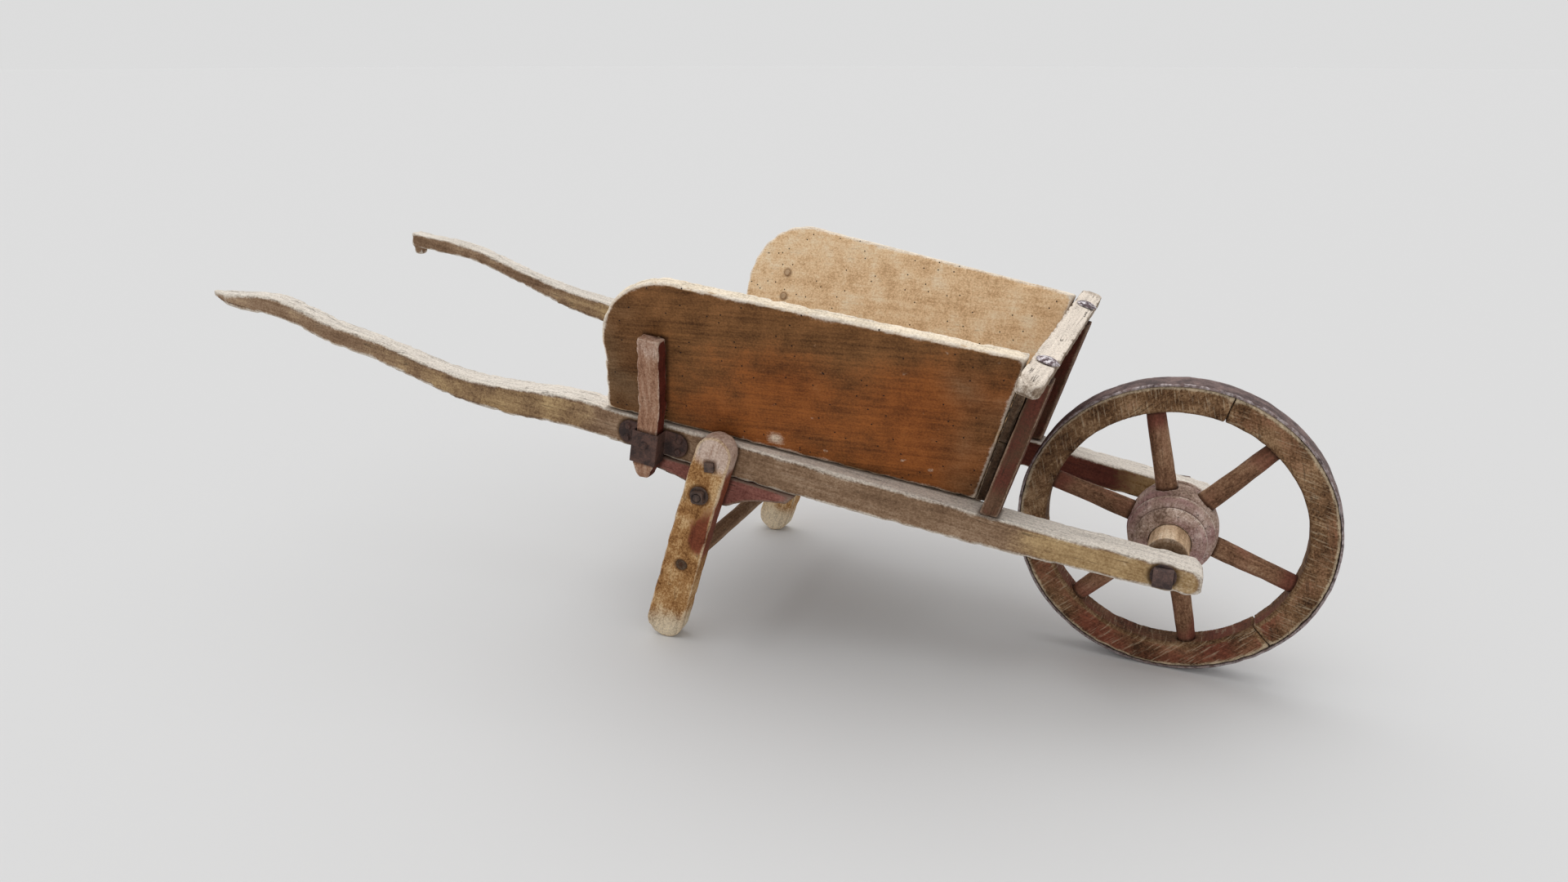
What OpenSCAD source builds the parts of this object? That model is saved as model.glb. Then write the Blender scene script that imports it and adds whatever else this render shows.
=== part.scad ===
// Wooden wheelbarrow with a spoked, iron-tyred wheel and an open-backed tray.
// +X points forward to the wheel, +Y to the left, +Z up; the feet and the tyre stand on z = 0.

/* [Overall] */
// Handle tips to the front of the tyre
overall_length = 1685; // [1600:5:1850]
// Distance between the two shaft centres at the axle
axle_gap = 277; // [250:1:320]
// Plan angle of each shaft, spreading towards the handles, degrees
splay = 3.78; // [2.5:0.01:4.5]
// Slope of the shafts under the tray, degrees
tray_slope = 9.3; // [7:0.1:11]

/* [Wheel] */
// Diameter over the iron tyre
wheel_diameter = 420; // [370:5:470]
// Thickness of the iron tyre
tyre_thickness = 4; // [3:0.5:6]
// Width of the iron tyre
tyre_width = 40; // [32:1:48]
// Radial depth of the wooden rim
felloe_depth = 37; // [30:1:44]
// Largest spoke diameter, at the hub
spoke_diameter = 29; // [22:1:32]
// Turned hub, largest diameter
hub_diameter = 120; // [100:1:135]
// Turned hub, length along the axle
hub_length = 116; // [96:1:130]
// Wooden axle that shows each side of the hub
wooden_axle_diameter = 54; // [46:1:60]
// Iron rod the wheel turns on
rod_diameter = 16; // [12:1:18]
// Running clearance of the rod, radial
rod_clearance = 0.06; // [0.02:0.01:0.1]

/* [Shafts] */
// Width of a shaft
shaft_width = 43; // [36:1:50]
// Depth of a shaft at its deepest, under the tray
shaft_depth = 52; // [44:1:60]
// Depth of a shaft at the axle
shaft_nose_depth = 38; // [34:1:46]
// Thickness of the hand grips
grip_thickness = 28; // [24:1:34]

/* [Tray] */
// Length of the tray floor along the ground
tray_length = 524; // [440:2:600]
// Outward lean of the side boards, degrees
side_lean = 16.3; // [10:0.1:20]
// Thickness of the side boards
side_thickness = 20; // [18:1:26]
// Height of a side board at its front edge
side_front_height = 226; // [190:2:250]
// Radius of the round back corner
side_corner = 104; // [70:2:120]
// Thickness of the floor boards
floor_thickness = 18; // [15:1:22]
// Forward lean of the headboard, degrees
headboard_lean = 16.5; // [12:0.5:19]
// Slant height of the headboard under the rail
headboard_height = 201; // [170:1:210]
// Length of the top rail
rail_length = 536; // [480:2:570]

/* [Legs and ironwork] */
// Width of a leg at the foot
leg_width = 56; // [48:1:66]
// Thickness of a leg
leg_thickness = 32; // [26:1:38]
// How far the foot stands behind the top of the leg
leg_rake = 100; // [80:2:120]
// Thickness of the rung between the legs
stretcher_diameter = 22; // [18:1:26]
// Width of the stakes behind the side boards
stake_width = 32; // [28:1:40]
// Depth of the stakes
stake_depth = 25; // [22:1:32]
// Room between a stake and its iron staple
staple_room = 1; // [0.6:0.1:2]

/* [Hidden] */
$fn = 48;

wheel_r = wheel_diameter / 2;
axle_z = wheel_r;
axle_x = overall_length / 2 - wheel_r;
tip_u = (overall_length - wheel_r - (grip_thickness / 2 - 1) * sin(splay)) / cos(splay);
nose_u = -45;
line_z = axle_z + 12.5;
front_u = wheel_r + 36;
back_u = front_u + tray_length;
half = shaft_width / 2;
gap = 0.4;
free_u = tip_u - back_u;
dip_from = back_u + 0.043 * free_u;
dip_to = back_u + 0.631 * free_u;
lift_from = back_u + 0.40 * free_u;
lift_to = back_u + 0.76 * free_u;
felloe_out = wheel_r - tyre_thickness;
felloe_in = felloe_out - felloe_depth;
felloe_width = tyre_width - 2;
leg_u = front_u + 348;
rung_z = 0.62 * axle_z;
stake_u = front_u + 448;
rail_thickness = 22;
rail_width = 33;
head_thickness = 13;
post_depth = 24;
post_width = 34;
post_y = axle_gap / 2 + 19.5;
foot_in = 15;
left_shorter = 12;
spoke_count = 6;
spoke_turn = [5, 0, 0, 3, -1, -3];

function hump(t) = (t <= 0 || t >= 1) ? 0 : (1 - cos(360 * t)) / 2;
function ease(t) = t <= 0 ? 0 : (t >= 1 ? 1 : t * t * (3 - 2 * t));
function line_top(u) = line_z + tan(tray_slope) * u;
// top edge of a shaft: straight under the tray, dipping and rising towards the grip
function top(u, dip, crest, lift) = line_top(u) + 0.3 + 5 * (1 - ease((u + 20) / (front_u - 60)))
  - dip * hump((u - dip_from) / (dip_to - dip_from))
  + crest * hump((u - dip_to) / (tip_u - dip_to))
  + lift * ease((u - lift_from) / (lift_to - lift_from));
function depth(u, tip) = lookup(u, [[nose_u, shaft_nose_depth - 4], [0, shaft_nose_depth],
  [0.5 * front_u, shaft_nose_depth + 2], [front_u, shaft_nose_depth + 8],
  [front_u + 0.30 * tray_length, shaft_depth - 2],
  [front_u + 0.55 * tray_length, shaft_depth], [back_u, shaft_depth - 4],
  [back_u + 0.22 * free_u, shaft_depth - 9], [back_u + 0.35 * free_u, grip_thickness + 9],
  [back_u + 0.47 * free_u, grip_thickness + 5], [back_u + 0.6 * free_u, grip_thickness],
  [back_u + 0.9 * free_u, grip_thickness - 1], [tip_u, tip]]);
// plan position of a point on the left shaft: u back along it, y across it
function plan(u, y) = [axle_x - u * cos(splay) + y * sin(splay),
  axle_gap / 2 + u * sin(splay) + y * cos(splay)];

// a profile drawn in x and z, run between two y values
module across(y0, y1) {
  translate([0, y1, 0])
    rotate([90, 0, 0])
      linear_extrude(height = y1 - y0)
        children();
}
// a cylinder along y
module pin(r, y0, y1, r2 = -1) {
  translate([0, y0, 0])
    rotate([-90, 0, 0])
      cylinder(r1 = r, r2 = r2 < 0 ? r : r2, h = y1 - y0);
}
// left shaft frame, x forward along the shaft, y outward across it
module on_shaft() {
  translate([axle_x, axle_gap / 2, 0])
    rotate([0, 0, -splay])
      children();
}
module right_hand() {
  mirror([0, 1, 0])
    children();
}
// frame of the tray floor: z square to the top of the shafts
module on_slope() {
  translate([axle_x, 0, line_z])
    rotate([0, tray_slope, 0])
      children();
}
// frame of the headboard: x forward through it, z up its slant
module on_headboard() {
  translate([axle_x - front_u, 0, line_top(front_u)])
    rotate([0, headboard_lean, 0])
      children();
}
// frame of the left side board: x forward along it, y outward, z up its face
module on_side() {
  translate([axle_x - front_u, axle_gap / 2 - 1.1, line_top(front_u)])
    rotate([0, 0, -splay - 1.29])
      rotate([-side_lean, 0, 0])
        children();
}
// frame of the left stake: z square to the shaft top, y outward
module on_stake() {
  on_shaft()
    translate([-stake_u, 0, line_top(stake_u)])
      rotate([0, tray_slope, 0])
        children();
}
// upright prism between the two shafts, out to y across each of them
module between(y, u0 = nose_u, u1 = back_u + 40) {
  a = plan(u0, y);
  b = plan(u1, y);
  linear_extrude(height = 700)
    polygon([a, b, [b[0], -b[1]], [a[0], -a[1]]]);
}
module nail(head, shank, length) {
  cylinder(r1 = head, r2 = head * 0.72, h = 2);
  translate([0, 0, -length])
    cylinder(r = shank, h = length);
}
// a nail driven flush
module flush_nail(head, shank, length) {
  translate([0, 0, -1.6])
    cylinder(r1 = head * 0.8, r2 = head, h = 1.6);
  translate([0, 0, -length])
    cylinder(r = shank, h = length - 1);
}

// ---- shafts ----
stations = concat([nose_u, nose_u + 8, 0], [for (i = [1:6]) front_u * i / 6],
  [for (i = [1:4]) front_u + tray_length * i / 4], [for (i = [1:22]) back_u + free_u * i / 22]);
module shaft_body(dip, crest, lift, tip, blunt, belly = 0) {
  n = len(stations) - 1;
  upper = [for (u = stations) [-u, top(u, dip, crest, lift) - (u == nose_u ? 5 : 0)]];
  lower = [for (i = [n:-1:0]) [-stations[i], top(stations[i], dip, crest, lift)
    - depth(stations[i], tip) - belly * hump((stations[i] - lift_from) / (tip_u - lift_from))
    + (i == 0 ? 7 : 0)]];
  g = grip_thickness / 2;
  a = back_u + 0.16 * free_u;
  b = back_u + 0.56 * free_u;
  intersection() {
    across(-half, half)
      polygon(concat(upper, lower));
    linear_extrude(height = 900)
      polygon([[-nose_u, half - 3], [-nose_u - 4, half], [-a, half], [-0.6 * a - 0.4 * b, half - 2],
        [-b, g + 1], [blunt - tip_u + 30, g], [-tip_u, blunt ? g - 1 : 4],
        [-tip_u, blunt ? 1 - g : -4], [blunt - tip_u + 30, -g], [-b, -g - 1],
        [-0.6 * a - 0.4 * b, 2 - half], [-a, -half], [-nose_u - 4, -half], [-nose_u, 3 - half]]);
  }
}
// round grip end: the blunt handle keeps a small heel under its tip
module heel() {
  translate([10 - tip_u, 0, top(tip_u - 10, 0, 8, 23) - grip_thickness - 4])
    pin(10, -9, 9);
}
module shaft_holes() {
  // the tray floor, side boards and posts bear on one plane
  on_slope()
    translate([-(back_u + 6) / cos(tray_slope), -400, 0])
      cube([(tray_length + 52) / cos(tray_slope), 800, 8]);
  for (k = [0:2])
    tenon(k);
  on_shaft() {
    // rod hole, and a flat seat for the washer
    translate([0, 0, axle_z])
      rotate([0, 0, splay]) {
        pin(rod_diameter / 2, -60, 60);
        pin(19, half - 1.4, half + 20);
      }
    leg_bolt_shanks();
  }
  post_tenon();
  on_stake()
    staple_nail_set(0);
}
module shaft_left() {
  color("tan")
    difference() {
      on_shaft()
        union() {
          shaft_body(-6, 8, 23, grip_thickness - 3, 18, -3);
          heel();
        }
      shaft_holes();
    }
}
module shaft_right() {
  color("tan")
    right_hand()
      difference() {
        on_shaft()
          shaft_body(20, 19, 0, 10, 0, 5);
        shaft_holes();
      }
}

// ---- cross rails and floor ----
rail_u = [front_u + 26, front_u + 0.5 * tray_length, back_u - 26];
module tenon(k) {
  intersection() {
    on_slope()
      translate([-rail_u[k] / cos(tray_slope) - 13, -260, -floor_thickness - 21])
        cube([26, 520, 14]);
    between(half - 9);
  }
}
module cross_rail(k) {
  color("burlywood")
    difference() {
      union() {
        intersection() {
          on_slope()
            translate([-rail_u[k] / cos(tray_slope) - 22, -260, -floor_thickness - 26])
              cube([44, 520, 26]);
          between(-half);
        }
        tenon(k);
      }
      floor_nails();
    }
}
module floor_board(i) {
  p = plan(front_u, -half);
  q = plan(back_u, -half);
  f0 = -1 + i * 0.5;
  f1 = f0 + 0.5;
  color("burlywood")
    difference() {
      intersection() {
        on_slope()
          translate([-back_u / cos(tray_slope), -260, -floor_thickness])
            cube([(tray_length + 4) / cos(tray_slope), 520, floor_thickness]);
        linear_extrude(height = 700)
          polygon([[p[0], f0 * p[1] + 0.6], [q[0], f0 * q[1] + 0.6],
            [q[0], f1 * q[1] - 0.6], [p[0], f1 * p[1] - 0.6]]);
      }
      floor_nails();
    }
}
module floor_nails() {
  color("dimgray")
    on_slope()
      for (k = [0:2])
        for (f = [-0.87, -0.63, -0.37, -0.13, 0.13, 0.37, 0.63, 0.87])
          translate([-rail_u[k] / cos(tray_slope), f * plan(rail_u[k], -half)[1], 0])
            flush_nail(5, 2, 30);
}

// ---- headboard, posts and top rail ----
module below_shaft_top(z) {
  on_slope()
    translate([-1600, -400, z - 200])
      cube([2000, 800, 200]);
}
module plank(h0, h1) {
  color("saddlebrown")
    difference() {
      on_headboard()
        translate([0, -260, h0])
          cube([head_thickness, 520, h1 - h0]);
      below_shaft_top(0);
      for (s = [0, 1])
        mirror([0, s, 0])
          on_side()
            translate([-700, 0, -200])
              cube([1400, 300, 800]);
      headboard_nails();
    }
}
module headboard_nails() {
  color("dimgray")
    on_headboard()
      for (s = [-1, 1])
        for (h = [0.35, 0.62, 0.9])
          translate([0, s * (post_y - 11 + 5 * h), h * headboard_height])
            rotate([0, -90, 0])
              flush_nail(4.5, 1.8, head_thickness + 14);
}
module post_tenon() {
  on_headboard()
    translate([head_thickness + 4, post_y - 10, -20])
      cube([13, 20, 24]);
}
module front_post() {
  color("maroon")
    difference() {
      union() {
        difference() {
          on_headboard()
            translate([head_thickness, post_y - post_width / 2, -20])
              cube([post_depth, post_width, headboard_height + 20]);
          below_shaft_top(0);
        }
        post_tenon();
      }
      headboard_nails();
      coach_bolt_set(0);
    }
}
module top_rail() {
  l = rail_length / 2;
  color("silver")
    difference() {
      on_headboard()
        translate([0, 0, headboard_height])
          intersection() {
            linear_extrude(height = rail_thickness)
              polygon([[0, -l + 12], [8, -l], [rail_width - 10, -l], [rail_width, -l + 14],
                [rail_width, l - 14], [rail_width - 10, l], [8, l], [0, l - 12]]);
            translate([-1, 0, 0])
              rotate([0, 90, 0])
                rotate([0, 0, 90])
                  linear_extrude(height = rail_width + 2)
                    polygon([[12 - l, 0], [-l, 8], [-l, rail_thickness - 5], [6 - l, rail_thickness],
                      [l - 6, rail_thickness], [l, rail_thickness - 5], [l, 8], [l - 12, 0]]);
          }
      coach_bolt_set(0);
    }
}
module coach_bolt_set(heads) {
  on_headboard()
    for (s = [-1, 1])
      translate([head_thickness + 7, s * (post_y + 6), headboard_height + rail_thickness])
        union() {
          translate([0, 0, -rail_thickness - 60])
            cylinder(r = 4, h = rail_thickness + 60);
          if (heads == 1)
            intersection() {
              translate([0, 0, -20])
                sphere(r = 26);
              cylinder(r = 16, h = 10);
            }
        }
}
module top_rail_coach_bolts() {
  color("lightgray")
    coach_bolt_set(1);
}

// ---- belly blocks, legs and their fastenings ----
module belly_block() {
  a = leg_u - 110;
  b = leg_u + 108;
  n = 8;
  color("maroon")
    difference() {
      on_shaft()
        difference() {
          across(half - 36, half)
            polygon(concat(
              [for (i = [0:n]) let (u = b - (b - a) * i / n) [-u, top(u, 0, 0, 0)
                - depth(u, 10)]],
              [[-a - 16, line_top(a) - shaft_depth - 14], [-a - 44, line_top(a) - shaft_depth - 15],
              [-a - 78, line_top(a) - shaft_depth - 20], [-a - 104, line_top(a) - shaft_depth - 30],
              [-a - 128, line_top(a) - shaft_depth - 31], [-a - 160, line_top(a) - shaft_depth - 2],
              [-b, line_top(b) - shaft_depth - 18]]));
          shaft_body(0, 0, 0, 10, 0);
          leg_bolt_shanks();
        }
    }
}
bolt_a = [-leg_u - 4, line_top(leg_u) - 28];
bolt_b = [-leg_u - 21, line_top(leg_u) - 73];
module leg_bolt_shanks() {
  translate([bolt_a[0], 0, bolt_a[1]])
    pin(4, half - 34, half + leg_thickness);
  translate([bolt_b[0], 0, bolt_b[1]])
    pin(6, half - 36, half + leg_thickness);
}
// leg without holes: upright beside the shaft, then leaning in towards the foot
module leg_blank() {
  w0 = leg_width * 0.47;
  w1 = leg_width * 0.5;
  h = line_top(leg_u) - 12;
  d = h * 0.09;
  k = leg_u + leg_rake * 0.91;
  lean = atan(leg_rake / h);
  knee = line_top(leg_u) - 104;
  t = half + leg_thickness;
  on_shaft()
    intersection() {
      union() {
        across(half - foot_in - 5, t)
          polygon([[-leg_u - w0 * cos(lean), h + w0 * sin(lean)],
            [-leg_u + w0 * cos(lean), h - w0 * sin(lean)],
            [-k + w1 * cos(lean), d - w1 * sin(lean)], [-k - w1 * cos(lean), d + w1 * sin(lean)]]);
        translate([-leg_u, 0, h])
          pin(w0, half - foot_in - 5, t);
        translate([-k, 0, d])
          pin(w1, half - foot_in - 5, t);
      }
      translate([-leg_u - 300, 0, 0])
        rotate([90, 0, 90])
          linear_extrude(height = 600)
            polygon([[half, h + 60], [half, knee], [half - foot_in, 0],
              [t - foot_in - 3, 0], [t, knee], [t, h + 60]]);
    }
}
module leg() {
  color("peru")
    difference() {
      leg_blank();
      on_shaft()
        leg_bolt_shanks();
      rung_tenon();
    }
}
rung_x = axle_x - leg_u - leg_rake * 0.52;
module rung_tenon() {
  translate([rung_x, 0, rung_z])
    pin(8, -320, 320);
}
module leg_stretcher() {
  color("dimgray")
    union() {
      difference() {
        intersection() {
          translate([rung_x, 0, rung_z])
            pin(stretcher_diameter / 2, -320, 320);
          between(half + 4, 0, tip_u);
        }
        leg_blank();
        right_hand()
          leg_blank();
      }
      intersection() {
        rung_tenon();
        between(half + leg_thickness - 6, 0, tip_u);
      }
    }
}
module both_sides() {
  for (s = [0, 1])
    mirror([0, s, 0])
      on_shaft()
        children();
}
module leg_washers() {
  color("dimgray")
    both_sides()
      translate([bolt_b[0], half + leg_thickness, bolt_b[1]])
        difference() {
          pin(14, 0, 2.4);
          pin(6, -1, 4);
        }
}
module leg_nuts() {
  color("dimgray")
    both_sides()
      translate([bolt_b[0], half + leg_thickness + 2.4, bolt_b[1]])
        difference() {
          intersection() {
            pin(11, 0, 9);
            translate([-9, 0, -9])
              cube([18, 9, 18]);
          }
          pin(6, -1, 12);
        }
}
module leg_bolts() {
  color("dimgray")
    both_sides()
      translate([bolt_b[0], 0, bolt_b[1]])
        union() {
          pin(6, half - 36, half + leg_thickness + 12);
          intersection() {
            pin(13, half - 42, half - 36);
            translate([0, half - 20, 0])
              sphere(r = 22);
          }
        }
}
module upper_leg_bolts() {
  color("dimgray")
    both_sides()
      translate([bolt_a[0], 0, bolt_a[1]])
        union() {
          pin(4, half - 34, half + leg_thickness);
          translate([-7, half + leg_thickness, -7])
            cube([14, 6, 14]);
        }
}

// ---- staples ----
staple_h = 36;
staple_z = -44;
// the loop round the stake hangs lower than the two nailed ends
loop_drop = 12;
module staple_plan() {
  i = stake_width / 2 + staple_room;
  d = 0.6 + stake_depth + staple_room;
  t = 2.6;
  polygon([[-i - 36, 0], [-i, 0], [-i, d], [i, d], [i, 0], [i + 22, 0], [i + 22, t],
    [i + t, t], [i + t, d + t], [-i - t, d + t], [-i - t, t], [-i - 36, t]]);
}
module staple() {
  i = stake_width / 2 + staple_room;
  color("dimgray")
    difference() {
      on_stake()
        translate([0, half, 0])
          difference() {
            union() {
              intersection() {
                translate([0, 0, staple_z - loop_drop])
                  linear_extrude(height = staple_h + loop_drop)
                    staple_plan();
                union() {
                  translate([-i - 20, -5, staple_z])
                    cube([2 * i + 42, 80, staple_h]);
                  translate([-i - 2.6, -5, staple_z - loop_drop])
                    cube([2 * i + 5.2, 80, staple_h]);
                  translate([-i - 18, 0, staple_z + staple_h / 2])
                    pin(staple_h / 2, -5, 80);
                }
              }
              translate([i + 20, 0, staple_z + staple_h / 2])
                pin(staple_h / 2, 0, 2.6);
            }
            // hole for the strap rivet
            translate([0, 0, staple_z + 16])
              pin(3, 20, 80);
          }
      on_stake()
        staple_nail_set(0);
    }
}
module staple_nail_set(heads) {
  i = stake_width / 2 + staple_room;
  for (x = [-i - 22, i + 24])
    for (z = [9, 26])
      translate([x, half + 2.6, staple_z + z])
        rotate([-90, 0, 0])
          if (heads == 1)
            nail(5, 2.2, 11);
          else
            translate([0, 0, -11])
              cylinder(r = 2.2, h = 12);
}
module staple_nails() {
  d = half + 0.6 + stake_depth + staple_room;
  color("dimgray")
    for (s = [0, 1])
      mirror([0, s, 0])
        on_stake()
          union() {
            staple_nail_set(1);
            // rivet left in the strap
            translate([0, 0, staple_z + 16]) {
              pin(3, d, d + 2.6);
              pin(5.5, d + 2.6, d + 4.6, 4);
            }
          }
}

// ---- side boards and stakes, which lift out together ----
module side_outline(shorter) {
  c = side_corner;
  r = shorter - tray_length;
  polygon([[160, -60], [160, side_front_height - 0.15 * 106], [54, side_front_height],
    [r + 13 + c, side_front_height + 0.15 * (41 - r - c)], [r + 13 + c, 180], [r + 13, 180],
    [r, 90], [r, -60]]);
  intersection() {
    translate([r + 13 + c, side_front_height + 0.15 * (41 - r - c) - c])
      circle(r = c);
    translate([r, 120])
      square([c + 40, 300]);
  }
  translate([r + 13, 150])
    square([c, side_front_height + 0.15 * (41 - r - c) - c - 150]);
}
module side_board(shorter = 0) {
  color("sienna")
    difference() {
      on_side()
        translate([0, 0, 0])
          across(-side_thickness, 0)
            side_outline(shorter);
      below_shaft_top(gap);
      on_headboard()
        translate([-gap, -400, -200])
          cube([300, 900, 700]);
      stake_nail_set(0);
    }
}
module stake() {
  w = stake_width / 2;
  color("firebrick")
    difference() {
      union() {
        // shank that drops through the staple, tapered at its foot
        on_stake()
          intersection() {
            across(half + 0.6, half + 0.6 + stake_depth)
              polygon([[-w, 42], [-w, staple_z - 16], [-w + 5, staple_z - 32], [-w + 11, staple_z - 38],
                [w - 11, staple_z - 38], [w - 5, staple_z - 32], [w, staple_z - 16], [w, 42]]);
            translate([-w, 0, 0])
              rotate([90, 0, 90])
                linear_extrude(height = 2 * w)
                  polygon([[half, 42], [half, staple_z - 28], [half + 6, staple_z - 41],
                    [half + stake_depth - 6, staple_z - 41], [half + 0.6 + stake_depth, staple_z - 24],
                    [half + 0.6 + stake_depth, 42]]);
          }
        // upper part that leans out with the side board
        intersection() {
          on_stake()
            translate([-w, -40, 30])
              cube([2 * w, 160, 105]);
          on_side()
            translate([-700, 0, -100])
              cube([700, stake_depth, 500]);
        }
      }
      // bevelled top
      on_stake()
        translate([-w - 1, half + 52, 122])
          rotate([-38, 0, 0])
            cube([2 * w + 2, 60, 60]);
      on_side()
        translate([-700, -100, 0])
          cube([900, 100, 600]);
      stake_nail_set(0);
    }
}
module stake_nail_set(heads) {
  on_side()
    for (k = [0:2])
      translate([-stake_u + front_u + 6 + 9 * k + (k == 1 ? 7 : 0), -side_thickness, 132 + 40 * k])
        rotate([90, 0, 0])
          if (heads == 1)
            nail(5, 2, side_thickness + 20);
          else
            translate([0, 0, -side_thickness - 20])
              cylinder(r = 2, h = side_thickness + 21);
}
module stake_nails() {
  color("dimgray")
    stake_nail_set(1);
}

// ---- axle ----
washer_y = axle_gap / 2 + half - 1.4;
module at_axle() {
  translate([axle_x, 0, axle_z])
    children();
}
module axle_rod() {
  color("dimgray")
    at_axle()
      union() {
        pin(rod_diameter / 2, -washer_y - 2.5, washer_y + 18);
        translate([-12.5, -washer_y - 12.5, -12.5])
          cube([25, 10, 25]);
      }
}
module axle_washers() {
  color("dimgray")
    at_axle()
      for (s = [-1, 1])
        difference() {
          pin(16.5, s > 0 ? washer_y : -washer_y - 2.5, s > 0 ? washer_y + 2.5 : -washer_y);
          pin(rod_diameter / 2, -300, 300);
        }
}
module axle_nut() {
  color("dimgray")
    at_axle()
      difference() {
        translate([-13, washer_y + 2.5, -13])
          cube([26, 12, 26]);
        pin(rod_diameter / 2, -300, 300);
      }
}

// ---- wheel ----
axle_half = axle_gap / 2 - half - 11;
module wooden_axle() {
  r = wooden_axle_diameter / 2;
  color("burlywood")
    at_axle()
      difference() {
        union() {
          pin(r, -axle_half + 3, axle_half - 3);
          pin(r - 3, -axle_half, -axle_half + 3, r);
          pin(r, axle_half - 3, axle_half, r - 3);
        }
        pin(rod_diameter / 2 + rod_clearance, -300, 300);
      }
}
module hub() {
  r = hub_diameter / 2;
  h = hub_length / 2;
  side = [[r - 0.5, 0.24 * h], [r - 3, 0.36 * h], [r - 6, 0.38 * h], [r - 6, 0.43 * h],
    [r - 2.5, 0.45 * h], [r - 3.5, 0.58 * h], [r - 8, 0.68 * h], [r - 14, 0.72 * h],
    [r - 14, 0.76 * h], [r - 12.5, 0.80 * h], [r - 13.5, 0.9 * h], [r - 19, h]];
  n = len(side) - 1;
  color("rosybrown")
    at_axle()
      difference() {
        rotate([90, 0, 0])
          rotate_extrude($fn = 96)
            polygon(concat([[wooden_axle_diameter / 2, -h]],
              [for (i = [n:-1:0]) [side[i][0], -side[i][1]]], [[r, 0]], side,
              [[wooden_axle_diameter / 2, h]]));
        for (k = [0:spoke_count - 1])
          spoke_solid(k);
      }
}
module spoke_solid(k) {
  r = spoke_diameter / 2;
  rotate([0, -44 - k * 360 / spoke_count - spoke_turn[k], 0])
    rotate([0, 90, 0])
      union() {
        translate([0, 0, 34])
          cylinder(r1 = r, r2 = r - 2.5, h = felloe_in - 31);
        translate([0, 0, felloe_in])
          cylinder(r = 9, h = 24);
      }
}
module spoke(k) {
  color("brown")
    at_axle()
      spoke_solid(k);
}
module felloe(k) {
  i = felloe_in;
  o = felloe_out;
  w = felloe_width / 2;
  color("chocolate")
    at_axle()
      difference() {
        rotate([90, 0, 0])
          rotate([0, 0, 74.5 + 120 * k])
            rotate_extrude(angle = 120, $fn = 120)
              polygon([[i + 1.5, -w], [o, -w], [o, w], [i + 1.5, w], [i, w - 1.5], [i, 1.5 - w]]);
        for (j = [0:spoke_count - 1])
          spoke_solid(j);
        dowel_set();
      }
}
module dowel_set() {
  for (k = [0:2])
    rotate([0, -74.5 - 120 * k, 0])
      translate([(felloe_in + felloe_out) / 2, 0, -22])
        cylinder(r = 7, h = 44);
}
module felloe_dowels() {
  color("tan")
    at_axle()
      dowel_set();
}
module tyre() {
  w = tyre_width / 2;
  color("dimgray")
    at_axle()
      rotate([90, 0, 0])
        rotate_extrude($fn = 120)
          polygon([[felloe_out, -w], [wheel_r - 1, -w], [wheel_r, -w + 1.5], [wheel_r, w - 1.5],
            [wheel_r - 1, w], [felloe_out, w]]);
}

shaft_right();
shaft_left();
cross_rail(0);  // front_cross_rail
cross_rail(1);  // middle_cross_rail
cross_rail(2);  // rear_cross_rail
floor_board(0);  // floor_board_1
floor_board(1);  // floor_board_2
floor_board(2);  // floor_board_3
floor_board(3);  // floor_board_4
floor_nails();
plank(-30, 0.5 * headboard_height - 0.5);  // lower_headboard_plank
plank(0.5 * headboard_height + 0.5, headboard_height);  // upper_headboard_plank
headboard_nails();
right_hand() front_post();  // front_post_right
front_post();  // front_post_left
top_rail();
top_rail_coach_bolts();
right_hand() belly_block();  // belly_block_right
belly_block();  // belly_block_left
right_hand() leg();  // leg_right
leg();  // leg_left
leg_stretcher();
leg_washers();
leg_bolts();
leg_nuts();
upper_leg_bolts();
right_hand() staple();  // staple_right
staple();  // staple_left
staple_nails();
axle_rod();
axle_washers();
axle_nut();
right_hand() side_board();  // side_board_right
right_hand() stake();  // stake_right
right_hand() stake_nails();  // stake_nails_right
side_board(left_shorter);  // side_board_left
stake();  // stake_left
stake_nails();  // stake_nails_left
hub();
wooden_axle();
spoke(0);  // spoke_1
spoke(1);  // spoke_2
spoke(2);  // spoke_3
spoke(3);  // spoke_4
spoke(4);  // spoke_5
spoke(5);  // spoke_6
felloe(0);  // felloe_1
felloe(1);  // felloe_2
felloe(2);  // felloe_3
felloe_dowels();
tyre();
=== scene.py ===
"""Looks of a wooden wheelbarrow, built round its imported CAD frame.

Metres, +X forward to the wheel, +Y to the left of someone pushing, +Z up.
"""

import math

import bmesh
import bpy
import numpy as np
from mathutils import Matrix, Vector, noise
from mathutils.bvhtree import BVHTree


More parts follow.
